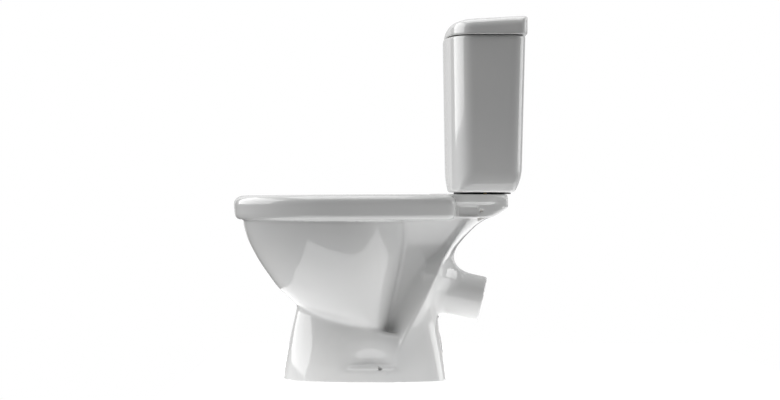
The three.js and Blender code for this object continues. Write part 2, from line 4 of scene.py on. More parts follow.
import bmesh
import bpy
import numpy as np
from mathutils import Matrix, Vector
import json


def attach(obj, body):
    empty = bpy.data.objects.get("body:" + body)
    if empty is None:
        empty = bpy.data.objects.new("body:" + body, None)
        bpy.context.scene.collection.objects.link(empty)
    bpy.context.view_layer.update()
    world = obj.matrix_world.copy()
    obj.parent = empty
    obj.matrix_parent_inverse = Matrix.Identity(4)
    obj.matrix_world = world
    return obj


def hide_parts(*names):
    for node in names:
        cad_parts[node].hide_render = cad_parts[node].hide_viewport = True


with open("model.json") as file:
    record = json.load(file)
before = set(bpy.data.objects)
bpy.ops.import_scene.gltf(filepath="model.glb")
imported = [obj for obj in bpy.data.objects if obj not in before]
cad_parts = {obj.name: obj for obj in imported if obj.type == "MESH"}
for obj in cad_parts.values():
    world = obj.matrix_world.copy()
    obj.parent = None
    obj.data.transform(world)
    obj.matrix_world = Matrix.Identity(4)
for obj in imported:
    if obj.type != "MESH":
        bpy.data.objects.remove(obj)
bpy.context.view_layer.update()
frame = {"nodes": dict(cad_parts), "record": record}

# All shapes below are in millimetres, in the frame's axes: +Z up, front towards -Y.
MM = 0.001

# ---------- driving dimensions ----------
RIM_TOP, RIM_BOTTOM = 400.0, 346.0
RIM_FRONT, RIM_BACK, RIM_WIDEST = -314.5, 166.0, -85.0
RIM_HALF, RIM_BACK_HALF = 178.0, 128.0
WALL = 11.0
SHELF_HALF, SHELF_BACK, SHELF_BOTTOM, SHELF_TOP = 105.0, 278.0, 380.0, 400.5
VALVE_Y = 225.0
FILL_X, FILL_Y = -132.0, 225.0
BOLT_X, BOLT_Y = 75.0, 228.0
SEAT_HOLE_X, SEAT_HOLE_Y = 77.5, 112
FLOOR_HOLE_X, FLOOR_HOLE_Y = 110, 4
VENT_Y, VENT_Z, VENT_RADIUS = 219, 364.2, 3.3
TRAP_BORE, TRAP_TUBE = 29.0, 42.0
SPIGOT_END = (224.4, 172.7)
SPIGOT_TILT = math.radians(13)
SPIGOT_OUTER, SPIGOT_BORE = 49.0, 41.5
TANK_BOTTOM, TANK_TOP, TANK_FLOOR = 404.5, 733.4, 414.5
LID_BOTTOM = 735.0
LID_HALF, LID_FRONT, LID_BACK = 187.5, 140.5, 313.6
CUP_TOP = 768.5
BUTTON_RADIUS = 18.9
ROCKER_Z = 686
FULL_Y, HALF_Y = 219.5, 231.5
LEVER_Y, LEVER_Z = 233, 692
FLOAT_ROD_Y = 257
OUTLET_TUBE_X = FILL_X + 37
PAN_STEP, CISTERN_STEP, LID_STEP = 4.5, 3.5, 2.5


# ---------- implicit shapes ----------
def curve(*knots):
    """Smooth monotone curve through (position, value) knots, held level beyond both ends."""
    t, v = np.array(knots, float).T
    gap = np.diff(t)
    slope = np.diff(v) / gap
    same = slope[:-1] * slope[1:] > 0
    mean = np.zeros(len(slope) - 1)
    mean[same] = 2 * slope[:-1][same] * slope[1:][same] / (slope[:-1][same] + slope[1:][same])
    tangent = np.concatenate([[slope[0]], mean, [slope[-1]]])

    def at(q):
        i = np.clip(np.searchsorted(t, q) - 1, 0, len(gap) - 1)
        s = np.clip((q - t[i]) / gap[i], 0, 1)
        return (
            v[i] * (1 + 2 * s) * (1 - s) ** 2
            + tangent[i] * gap[i] * s * (1 - s) ** 2
            + v[i + 1] * s * s * (3 - 2 * s)
            + tangent[i + 1] * gap[i] * s * s * (s - 1)
        )

    return at


def join(a, b, blend):
    """Union of two fields with a fillet of about the blend's size."""
    h = np.clip(0.5 + 0.5 * (b - a) / blend, 0, 1)
    return b + (a - b) * h - blend * h * (1 - h)


def meet(a, b, blend):
    """Intersection of two fields with a rounded edge."""
    return -join(-a, -b, blend)


def carve(a, b, blend):
    """Field a with b taken away, and a rounded edge."""
    return meet(a, -b, blend)


def scaled(field, x, y, z):
    """A field divided by its own slope, so that near its surface it measures distance."""
    step = 0.25
    here = field(x, y, z)
    slope = np.sqrt(
        (field(x + step, y, z) - here) ** 2
        + (field(x, y + step, z) - here) ** 2
        + (field(x, y, z + step) - here) ** 2
    )
    return here / np.maximum(slope / step, 0.004)


def egg(x, y, front, back, half, widest, front_power=2.0, back_power=2.0):
    """Below zero inside an egg whose two halves have their own reach and squareness."""
    ahead = y < widest
    power = np.where(ahead, front_power, back_power)
    u = np.abs(x) / half
    v = np.abs(y - widest) / np.where(ahead, widest - front, back - widest)
    return (u**power + v**power) ** (1 / power) - 1


def egg_loft(front, back, half, widest, front_power=2.0, back_power=2.0):
    def field(x, y, z):
        return egg(x, y, front(z), back(z), half(z), widest(z), front_power, back_power)

    return lambda x, y, z: scaled(field, x, y, z)


def block(x, y, z, low, high, radius=2.0):
    """Box with rounded edges; low and high are corners, and x is folded to its positive side."""
    inner = []
    for value, a, b in zip((x, y, z), low, high):
        inner.append(np.abs(value - (a + b) / 2) - (b - a) / 2 + radius)
    outside = np.sqrt(sum(np.maximum(d, 0) ** 2 for d in inner))
    return outside + np.minimum(np.maximum(np.maximum(inner[0], inner[1]), inner[2]), 0) - radius


def post(x, y, z, at, radius, low, high, blend=2.0):
    """Upright round bar."""
    across = np.hypot(x - at[0], y - at[1]) - radius
    return meet(across, np.maximum(low - z, z - high), blend)


def capsule_chain(x, y, z, route, radius, blend=6.0):
    """Round tube along straight runs between [y, z] points in the middle plane, blended at its bends."""
    result = None
    for (ya, za), (yb, zb) in zip(route, route[1:]):
        length = math.hypot(yb - ya, zb - za)
        t = np.clip(((y - ya) * (yb - ya) + (z - za) * (zb - za)) / length**2, 0, 1)
        d = np.sqrt(x**2 + (y - ya - t * (yb - ya)) ** 2 + (z - za - t * (zb - za)) ** 2) - radius
        result = d if result is None else join(result, d, blend)
    return result


# ---------- pan ----------
BELLY = dict(
    front=curve((92, -30), (117, -98), (149, -160), (175, -191), (201, -218.5), (227, -238),
                (253, -256), (279, -271), (305, -283.5), (332, -291.5), (346, -294)),
    back=curve((92, 12), (117, 24), (201, 44), (253, 56), (305, 66), (346, 74)),
    half=curve((92, 58), (105, 76), (117, 86), (149, 104), (175, 114), (201, 124), (253, 142),
               (305, 156), (346, 165)),
    widest=curve((92, -4), (117, -14), (149, -42), (201, -64), (253, -74), (346, -85)),
)
PEDESTAL = dict(
    front=curve((0, -207), (30, -202), (84, -192), (110, -187), (136, -181), (152, -177), (185, -140)),
    back=curve((0, 148), (19, 145.5), (58, 139), (84, 134.5), (123, 130), (160, 118), (185, 100)),
    half=curve((0, 122), (30, 118), (60, 109), (84, 99), (105, 90), (123, 83), (150, 74), (185, 58)),
    widest=curve((0, -20), (84, -24), (185, -35)),
)
NECK_HALF = curve((80, 46), (110, 43), (150, 43), (200, 46), (250, 52), (300, 62), (346, 80))
FOOT_TOP = curve((-190, 168), (-124, 162), (-71, 150), (-29, 128), (0, 110), (30, 104))
STRUT_FRONT = curve((60, 2), (112, 24), (161, 43), (200, 65), (246, 101), (277, 134), (304, 154),
                    (337, 176), (373, 196))
STRUT_RIDGE = curve((0, 12), (35, 27), (68, 43), (112, 62), (144, 81), (183, 103), (227, 125),
                    (254, 136), (293, 154), (337, 177), (373, 200))
STRUT_REAR = curve((0, 146), (58, 138), (110, 130), (150, 128), (215, 144), (258, 157), (284, 170),
                   (303, 184), (319, 198), (333, 212), (345, 229), (355, 250), (366, 268), (373, 277))
RIDGE_HALF = curve((0, 121), (35, 115), (68, 106), (112, 97), (144, 93), (183, 91), (254, 91),
                   (293, 93), (337, 97), (373, 98))
REAR_HALF = curve((0, 92), (68, 76), (112, 66), (180, 55), (227, 52), (293, 58), (337, 76), (373, 94))
BOWL = dict(
    front=curve((66, -40), (100, -66), (150, -128), (201, -196), (253, -238), (305, -268), (349, -281)),
    back=curve((66, 4), (100, 10), (150, 20), (201, 32), (253, 44), (305, 54), (349, 62)),
    half=curve((66, 28), (100, 40), (150, 66), (201, 102), (253, 126), (305, 143), (349, 152)),
    widest=curve((66, -16), (100, -24), (150, -40), (201, -60), (253, -70), (349, -85)),
)
TRAP_ROUTE = [(-18, 108), (14, 100), (50, 118), (80, 172), (98, 200), (122, 206), (158, 190), (212, 176)]


def strut(x, y, z):
    """Rear strut: a front strip and a rear panel that meet along a ridge from shelf to foot."""

    def strip(x, y, z):
        start = STRUT_FRONT(z)
        run = np.maximum(STRUT_RIDGE(z) - start, 14)
        inner = NECK_HALF(z) + 2
        return x - inner - (RIDGE_HALF(z) - inner) * (y - start) / run

    def panel(x, y, z):
        start = STRUT_RIDGE(z)
        run = STRUT_REAR(z) - start
        return x - RIDGE_HALF(z) + (RIDGE_HALF(z) - REAR_HALF(z)) * (y - start) / run

    sides = meet(scaled(strip, x, y, z), scaled(panel, x, y, z), 7)
    rear = scaled(lambda x, y, z: y - STRUT_REAR(z), x, y, z)
    ends = np.maximum(np.maximum(-1 - z, z - 352), STRUT_FRONT(z) - 12 - y)
    return meet(meet(sides, rear, 34), ends, 4)


def spigot_axis(y, z):
    """Distance along the outlet's axis from its end face (positive inside), and height over the axis."""
    along = -(y - SPIGOT_END[0]) * math.cos(SPIGOT_TILT) + (z - SPIGOT_END[1]) * math.sin(SPIGOT_TILT)
    over = (y - SPIGOT_END[0]) * math.sin(SPIGOT_TILT) + (z - SPIGOT_END[1]) * math.cos(SPIGOT_TILT)
    return along, over


def casting(x, y, z):
    """Outer skin of everything below the rim, open at the floor."""
    belly = egg_loft(**BELLY, front_power=2.12, back_power=2.1)(x, y, z)
    belly = meet(belly, np.maximum(92 - z, z - 350), 14)
    foot = egg_loft(**PEDESTAL, front_power=2.35, back_power=2.6)(x, y, z)
    foot = meet(foot, z - FOOT_TOP(y), 14)
    neck = scaled(lambda x, y, z: x - NECK_HALF(z), x, y, z)
    neck = meet(neck, np.maximum(-60 - y, y - STRUT_RIDGE(z)), 4)
    neck = meet(neck, np.maximum(70 - z, z - 384), 4)
    skin = join(belly, neck, 8)
    skin = join(skin, foot, 12)
    skin = join(skin, strut(x, y, z), 6)
    along, over = spigot_axis(y, z)
    pipe = meet(np.hypot(x, over) - SPIGOT_OUTER, np.maximum(-along, along - 110), 3)
    return join(skin, pipe, np.where(over > 0, 20 + 34 * np.clip(over / 30, 0, 1), 20))


def rim_outline(x, y, z):
    """Plan of the rim: an egg in front, then sides that draw in to a square rear edge."""
    t = np.clip((y - RIM_WIDEST) / (RIM_BACK - RIM_WIDEST), 0, 1.2)
    side = RIM_HALF - (RIM_HALF - RIM_BACK_HALF) * t**1.8
    front = egg(x, np.minimum(y, RIM_WIDEST), RIM_FRONT, 300, RIM_HALF, RIM_WIDEST)
    return np.where(y < RIM_WIDEST, front, x / side - 1)


def rim(x, y, z):
    """Rim band: a crowned top edge, a slight batter and a tucked-in lower edge."""
    plan = scaled(rim_outline, x, y, z)
    plan = meet(plan, y - RIM_BACK, 16)
    batter = 0.1 * np.clip(386 - z, 0, 50)
    top = z - (RIM_TOP - 2.6 * np.clip((-y + 60) / 370, 0, 1) ** 1.5)
    return meet(meet(plan + batter, top, 24), RIM_BOTTOM - z, 13)


def shelf(x, y, z):
    """Rear shelf: a slab with round rear corners on a box with a shallow side panel."""
    slab = meet(x - SHELF_HALF, y - SHELF_BACK, 58)
    slab = meet(slab, np.maximum(110 - y, y - 300), 2)
    slab = meet(slab, np.maximum(SHELF_BOTTOM - z, z - SHELF_TOP), 6)
    rear = scaled(lambda x, y, z: y - STRUT_REAR(z), x, y, z)
    body = meet(meet(x - 98, rear, 12), np.maximum(np.maximum(350 - z, z - 392), 150 - y), 4)
    panel = block(x, y, z, (94, 170, 355), (120, 214, 376), 4)
    return join(slab, carve(body, panel, 1.5), 3)


def waterways(x, y, z, solid):
    """Bowl, rim channel, flush passage, trap and outlet taken out of the casting."""
    bowl = meet(egg_loft(**BOWL)(x, y, z), np.maximum(66 - z, z - 352), 12)
    mouth = scaled(lambda x, y, z: egg(x, y, -264, 62, 134, RIM_WIDEST), x, y, z)
    lip = scaled(lambda x, y, z: egg(x, y, -273, 71, 143, RIM_WIDEST), x, y, z)
    groove = scaled(lambda x, y, z: egg(x, y, -303, 92, 166, RIM_WIDEST), x, y, z)
    throat = scaled(lambda x, y, z: egg(x, y, -281, 70, 152, RIM_WIDEST), x, y, z)
    groove = join(meet(groove, 360 - z, 8), meet(throat, 340 - z, 2), 4)
    groove = meet(carve(groove, lip, 4), z - 388, 8)
    passage = block(x, y, z, (-44, 78, 360), (44, 246, 388), 10)
    inlet = post(x, y, z, (0, VALVE_Y), 47.5, 382, 420)
    along, over = spigot_axis(y, z)
    bore = meet(np.hypot(x, over) - SPIGOT_BORE + 0.18 * np.clip(along - 40, 0, 66), along - 84, 6)
    trap = capsule_chain(x, y, z, TRAP_ROUTE, TRAP_BORE, 14)
    solid = carve(solid, groove, 4)
    solid = carve(solid, join(bowl, trap, 16), 6)
    solid = carve(solid, meet(mouth, 340 - z, 2), 13)
    solid = carve(solid, join(passage, inlet, 5), 3)
    return carve(solid, bore, 3)


def floor_scoop(x, y, z):
    """Hollow in the side of the foot, with a flat ledge for a floor screw."""
    scoop = (np.sqrt(((x - 120) / 23) ** 2 + ((y + 16) / 56) ** 2 + ((z - 50) / 46) ** 2) - 1) * 23
    return meet(scoop, (34 - z - 0.4 * (x - 108)) * 0.93, 4)


def pan_field(x, y, z):
    """The whole pan: its skin, what is hollow inside, the rim, the shelf, the waterways and the holes."""
    x = np.abs(x)
    skin = casting(x, y, z)
    bowl_shell = meet(egg_loft(**BOWL)(x, y, z) - WALL, 56 - z, 12)
    tube = capsule_chain(x, y, z, TRAP_ROUTE, TRAP_TUBE, 14)
    scoop = floor_scoop(x, y, z)
    inside = meet(skin + WALL + 1, z - 330, 10)
    inside = carve(carve(inside, bowl_shell, 10), tube, 12)
    inside = carve(inside, scoop - 9, 6)
    inside = carve(inside, block(x, y, z, (92, -14, -20), (122, 22, 34), 6), 6)
    solid = carve(skin, inside, 4)
    solid = join(solid, rim(x, y, z), 5)
    solid = join(solid, shelf(x, y, z), 4)
    solid = waterways(x, y, z, solid)
    solid = carve(solid, scoop, 12)
    holes = [
        post(x, y, z, (FLOOR_HOLE_X, FLOOR_HOLE_Y), 4.6, -5, 60, 1),
        post(x, y, z, (SEAT_HOLE_X, SEAT_HOLE_Y), 7.5, 352, 410, 1),
        post(x, y, z, (BOLT_X, BOLT_Y), 6, 370, 410, 1),
        post(x, y, z, (BOLT_X, BOLT_Y), 15.6, 325, 383.8, 2),
        block(x, y, z, (58, 100, 354), (90, 146, 388), 5),
        block(x, y, z, (44, 100, 318), (60, 146, 362), 5),
        meet(np.hypot(y - VENT_Y, z - VENT_Z) - VENT_RADIUS, 84 - x, 1),
    ]
    for hole in holes:
        solid = carve(solid, hole, 1.2)
    return meet(solid, -z, 2.5)


# ---------- cistern and lid ----------
def tank_plan(x, y, front, back, half, depth, corner):
    """Broad rounded front, straight sides and tighter rear corners."""
    power = 2.5

    def front_side(x, y, z):
        v = np.maximum(front + depth - y, 0) / depth
        return ((x / half) ** power + v**power) ** (1 / power) - 1

    return meet(scaled(front_side, x, y, 0 * x), y - back, corner)


def cistern_field(x, y, z):
    """Open tank that widens upwards, with chamfers below and a fill valve hole on each side."""
    x = np.abs(x)
    rise = (z - 430) / 303
    outer = tank_plan(x, y, 145 - 5 * rise, 302.5 + 7.5 * rise, 175 + 8 * rise, 62, 34)
    belt = scaled(lambda x, y, z: x - 175 + (430 - z) * 0.62, x, y, z)
    back = scaled(lambda x, y, z: y - 302.5 + (430 - z) * 0.6, x, y, z)
    front = scaled(lambda x, y, z: 147 - y + (418 - z) * 0.35, x, y, z)
    outer = meet(meet(meet(outer, belt, 13), back, 13), front, 9)
    outer = meet(outer, np.maximum(TANK_BOTTOM - z, z - TANK_TOP), 5)
    inner = tank_plan(x, y, 155 - 5 * rise, 292 + 7.5 * rise, 165 + 8 * rise, 54, 24)
    inner = meet(inner, TANK_FLOOR - z, 24)
    solid = carve(outer, inner, 4)
    middle = post(x, y, z, (0, VALVE_Y), 31, 390, 430, 1)
    side = post(x, y, z, (BOLT_X, BOLT_Y), 6, 390, 430, 1)
    inlet = post(-x, y, z, (FILL_X, FILL_Y), 11.5, 390, 430, 1)
    for hole in (middle, side, inlet):
        solid = carve(solid, hole, 1.5)
    return solid


def lid_field(x, y, z):
    """Hollow lid: a crown that rises to the rear, a rounded nose, and a cup with a bore for the buttons."""
    x = np.abs(x)
    crown = 770 + 0.062 * (y - 184) - 3.2 * (x / 188) ** 2
    outer = tank_plan(x, y, LID_FRONT, LID_BACK, LID_HALF, 62, 22)
    behind = np.clip(0.5 + (y - LID_BACK - x + LID_HALF) / 24, 0, 1)
    outer = meet(outer, z - crown, 20 - 14 * behind)
    clear = 10 * np.clip((y - 176) / 20, 0, 1)
    nose = np.hypot(np.maximum(186 - y, 0) / 46, np.maximum(z - 732, 0) / (37 + clear)) - 1
    outer = meet(outer, nose * 37, 8)
    outer = meet(outer, LID_BOTTOM - z, 4)
    inner = tank_plan(x, y, 154, 302, 175, 54, 18)
    inner = meet(inner, z - crown + 9.5, 14)
    inner_nose = np.hypot(np.maximum(190 - y, 0) / 38, np.maximum(z - 734, 0) / (30 + clear)) - 1
    inner = meet(inner, inner_nose * 30, 8)
    solid = carve(outer, inner, 3)
    solid = carve(solid, post(x, y, z, (0, VALVE_Y), 27, CUP_TOP, 800, 2), 2.5)
    return carve(solid, post(x, y, z, (0, VALVE_Y), 21.2, 740, 800, 1), 1)


# ---------- meshing of implicit shapes ----------
def surface_nets(values, origin, step):
    """Quads round the zero surface of a grid: one point in each cell that the surface crosses."""
    inside = values < 0
    shape = np.array(values.shape) - 1
    corners = [(i, j, k) for i in (0, 1) for j in (0, 1) for k in (0, 1)]

    def corner(array, c):
        return array[c[0]:c[0] + shape[0], c[1]:c[1] + shape[1], c[2]:c[2] + shape[2]]

    count = sum(corner(inside, c).astype(np.int8) for c in corners)
    active = (count > 0) & (count < 8)
    cells = np.argwhere(active)
    number = np.full(shape, -1, np.int64)
    number[active] = np.arange(len(cells))
    at = {c: corner(values, c)[active].astype(float) for c in corners}
    total = np.zeros((len(cells), 3))
    crossings = np.zeros(len(cells))
    for a in corners:
        for axis in range(3):
            if a[axis]:
                continue
            b = tuple(1 if n == axis else a[n] for n in range(3))
            crossed = (at[a] < 0) != (at[b] < 0)
            t = np.where(crossed, at[a] / np.where(crossed, at[a] - at[b], 1), 0)
            point = np.array(a, float) + t[:, None] * (np.array(b, float) - np.array(a, float))
            total += np.where(crossed[:, None], point, 0)
            crossings += crossed
    points = (cells + total / crossings[:, None]) * step + origin
    quads = []
    for axis in range(3):
        u, v = (axis + 1) % 3, (axis + 2) % 3
        low = [slice(None)] * 3
        high = [slice(None)] * 3
        low[axis], high[axis] = slice(0, -1), slice(1, None)
        first, second = inside[tuple(low)], inside[tuple(high)]
        for flip, edge in ((False, first & ~second), (True, ~first & second)):
            p = np.argwhere(edge)
            p = p[(p[:, u] > 0) & (p[:, v] > 0) & (p[:, u] < shape[u]) & (p[:, v] < shape[v])]
            loop = []
            for du, dv in ((-1, -1), (0, -1), (0, 0), (-1, 0)):
                q = p.copy()
                q[:, u] += du
                q[:, v] += dv
                loop.append(number[q[:, 0], q[:, 1], q[:, 2]])
            quads.append(np.stack(loop[::-1] if flip else loop, axis=1))
    return points, np.concatenate(quads)


def field_slope(field, p, step=0.3):
    """Slope of a field at points, by central differences."""
    slope = np.empty_like(p)
    for axis in range(3):
        shift = np.zeros(3)
        shift[axis] = step
        slope[:, axis] = (field(*(p + shift).T) - field(*(p - shift).T)) / (2 * step)
    return slope


def settle(field, points, quads, rounds=2):
    """Even the points out along the surface and pull them onto it."""
    edges = np.concatenate([quads[:, [i, (i + 1) % 4]] for i in range(4)])
    degree = np.bincount(edges.ravel(), minlength=len(points)).astype(float)
    for k in range(rounds + 1):
        if k < rounds:
            mean = np.empty_like(points)
            for axis in range(3):
                total = np.bincount(edges[:, 0], points[edges[:, 1], axis], len(points))
                total += np.bincount(edges[:, 1], points[edges[:, 0], axis], len(points))
                mean[:, axis] = total / degree
            points = points + 0.5 * (mean - points)
        slope = field_slope(field, points)
        size = np.maximum((slope**2).sum(1), 0.05)
        move = -(field(*points.T) / size)[:, None] * slope
        length = np.linalg.norm(move, axis=1, keepdims=True)
        points = points + move * np.minimum(1, 2.0 / np.maximum(length, 1e-6))
    slope = field_slope(field, points)
    return points, slope / np.maximum(np.linalg.norm(slope, axis=1, keepdims=True), 1e-9)


def implicit_piece(name, field, low, high, step, mirrored=True):
    """Mesh an implicit shape inside a box; a mirrored shape is worked out on one side only."""
    half = math.ceil(high[0] / step) + 1
    x = (np.arange(half) + 0.5) * step
    if not mirrored:
        x = np.concatenate([-x[::-1], x])
    y = np.arange(low[1] - 2 * step, high[1] + 2 * step, step)
    z = np.arange(low[2] - 2 * step, high[2] + 2 * step, step)
    grid = np.meshgrid(x, y, z, indexing="ij")
    values = field(*[g.astype(np.float32) for g in grid])
    if mirrored:
        values = np.concatenate([values[::-1], values])
        x = np.concatenate([-x[::-1], x])
    points, quads = surface_nets(values, np.array([x[0], y[0], z[0]]), step)
    points, normals = settle(field, points, quads)
    mesh = bpy.data.meshes.new(name)
    mesh.vertices.add(len(points))
    mesh.vertices.foreach_set("co", (points * MM).ravel())
    mesh.loops.add(quads.size)
    mesh.loops.foreach_set("vertex_index", quads.ravel())
    mesh.polygons.add(len(quads))
    mesh.polygons.foreach_set("loop_start", np.arange(0, quads.size, 4))
    mesh.polygons.foreach_set("loop_total", np.full(len(quads), 4))
    mesh.update(calc_edges=True)
    mesh.polygons.foreach_set("use_smooth", np.ones(len(quads), bool))
    mesh.normals_split_custom_set_from_vertices(normals)
    piece = bpy.data.objects.new(name, mesh)
    bpy.context.scene.collection.objects.link(piece)
    return piece


# ---------- materials ----------
class Nodes:
    """Short way to add and join shader nodes."""

    def __init__(self, name):
        self.material = bpy.data.materials.new(name)
        self.material.use_nodes = True
        self.tree = self.material.node_tree
        self.shader = self.tree.nodes["Principled BSDF"]
        self.position = self.add("ShaderNodeTexCoord").outputs["Object"]

    def add(self, kind):
        return self.tree.nodes.new(kind)

    def link(self, output, socket):
        self.tree.links.new(output, socket)

    def noise(self, scale, detail=2.0, roughness=0.5):
        node = self.add("ShaderNodeTexNoise")
        node.inputs["Scale"].default_value = scale
        node.inputs["Detail"].default_value = detail
        node.inputs["Roughness"].default_value = roughness
        self.link(self.position, node.inputs["Vector"])
        return node.outputs["Fac"]

    def ramp(self, source, low, high, start=0.3, end=0.7):
        """Colour or grey that runs from low to high as the source goes from start to end."""
        node = self.add("ShaderNodeValToRGB")
        node.color_ramp.elements[0].position = start
        node.color_ramp.elements[1].position = end
        for element, value in zip(node.color_ramp.elements, (low, high)):
            grey = isinstance(value, float)
            element.color = (value, value, value, 1) if grey else (*value, 1)
        self.link(source, node.inputs["Fac"])
        return node.outputs["Color"]

    def bump(self, heights):
        """Chain of bumps from (source, strength, distance in metres)."""
        before = None
        for source, strength, distance in heights:
            node = self.add("ShaderNodeBump")
            node.inputs["Strength"].default_value = strength
            node.inputs["Distance"].default_value = distance
            self.link(source, node.inputs["Height"])
            if before:
                self.link(before, node.inputs["Normal"])
            before = node.outputs["Normal"]
        self.link(before, self.shader.inputs["Normal"])


def glazed_china():
    n = Nodes("glazed_china")
    colour = n.ramp(n.noise(5, 3), (0.74, 0.745, 0.745), (0.785, 0.785, 0.778))
    n.link(colour, n.shader.inputs["Base Color"])
    n.link(n.ramp(n.noise(22, 4), 0.05, 0.11), n.shader.inputs["Roughness"])
    n.shader.inputs["IOR"].default_value = 1.58
    n.shader.inputs["Coat Weight"].default_value = 0.3
    n.shader.inputs["Coat Roughness"].default_value = 0.03
    n.bump([(n.noise(9, 2), 0.5, 0.0009), (n.noise(160, 2), 0.12, 0.0002)])
    return n.material


def metal(name, dark, light, low, high, scratch_scale):
    n = Nodes(name)
    n.link(n.ramp(n.noise(40, 4), dark, light), n.shader.inputs["Base Color"])
    n.link(n.ramp(n.noise(scratch_scale, 6, 0.7), low, high), n.shader.inputs["Roughness"])
    n.shader.inputs["Metallic"].default_value = 1.0
    n.bump([(n.noise(scratch_scale, 5, 0.7), 0.12, 0.00012)])
    return n.material


def plastic(name, dark, light, roughness):
    n = Nodes(name)
    n.link(n.ramp(n.noise(30, 4), dark, light), n.shader.inputs["Base Color"])
    n.link(n.ramp(n.noise(220, 3), roughness - 0.07, roughness + 0.07), n.shader.inputs["Roughness"])
    n.bump([(n.noise(700, 3), 0.15, 0.0002), (n.noise(60, 2), 0.2, 0.0002)])
    return n.material


def rubbery(name, dark, light, grain, depth):
    n = Nodes(name)
    n.link(n.ramp(n.noise(90, 5), dark, light), n.shader.inputs["Base Color"])
    n.link(n.ramp(n.noise(grain, 3), 0.6, 0.95), n.shader.inputs["Roughness"])
    n.bump([(n.noise(grain, 4, 0.7), 0.6, depth)])
    return n.material


MATERIALS = {
    "china": glazed_china(),
    "chrome": metal("polished_chrome", (0.72, 0.73, 0.74), (0.83, 0.84, 0.85), 0.04, 0.12, 500),
    "white_plastic": plastic("white_plastic", (0.74, 0.74, 0.72), (0.8, 0.8, 0.78), 0.38),
    "grey_plastic": plastic("grey_plastic", (0.3, 0.31, 0.32), (0.37, 0.38, 0.39), 0.42),
    "blue_plastic": plastic("blue_plastic", (0.04, 0.13, 0.27), (0.06, 0.18, 0.34), 0.4),
    "rubber": rubbery("black_rubber", (0.014, 0.014, 0.014), (0.03, 0.03, 0.031), 900, 0.0002),
    "foam": rubbery("closed_cell_foam", (0.02, 0.02, 0.021), (0.05, 0.05, 0.052), 420, 0.0008),
    "brass": metal("machined_brass", (0.5, 0.34, 0.13), (0.68, 0.5, 0.24), 0.22, 0.42, 800),
    "zinc_steel": metal("zinc_steel", (0.48, 0.49, 0.5), (0.62, 0.63, 0.64), 0.25, 0.45, 700),
}
SLOT_OF = {part["node"]: part["material_slot"] for part in frame["record"]["subparts"]}
BODY_OF = {
    node: body
    for body, nodes in frame["record"]["behaviour"]["bodies"].items()
    for node in nodes
}


def dress_cad_nodes():
    """Give every CAD node that stays its record slot's material."""
    for node, slot in SLOT_OF.items():
        obj = frame["nodes"][node]
        obj.data.materials.clear()
        obj.data.materials.append(MATERIALS[slot])


def stands_for(piece, node):
    """A finished piece takes the material, body and slot of the node that it replaces."""
    piece.data.materials.append(MATERIALS[SLOT_OF[node]])
    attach(piece, BODY_OF[node])
    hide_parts(node)


# ---------- turned and bevelled fittings ----------
def softened(profile, soft):
    """A [radius, z] outline with each corner off the axis rounded by up to the soft radius."""
    result = []
    closed = profile[0][0] > 0
    for i, (r, z) in enumerate(profile):
        if not closed and i in (0, len(profile) - 1):
            result.append((r, z))
            continue
        (ra, za), (rb, zb) = profile[i - 1], profile[(i + 1) % len(profile)]
        before, after = math.hypot(ra - r, za - z), math.hypot(rb - r, zb - z)
        cut = min(soft, 0.45 * before, 0.45 * after)
        start = (r + (ra - r) * cut / before, z + (za - z) * cut / before)
        end = (r + (rb - r) * cut / after, z + (zb - z) * cut / after)
        for t in (0, 0.33, 0.67, 1):
            a, b, c = (1 - t) ** 2, 2 * t * (1 - t), t * t
            result.append((a * start[0] + b * r + c * end[0], a * start[1] + b * z + c * end[1]))
    return result


def ridges(radius, low, high, pitch, depth):
    """Outline of a threaded or ribbed stretch, from low to high."""
    points = []
    for k in range(int((high - low) / pitch)):
        z = low + k * pitch
        points.append((radius - depth, z + 0.15 * pitch))
        points.append((radius, z + 0.5 * pitch))
        points.append((radius, z + 0.65 * pitch))
    return points + [(radius - depth, high)]


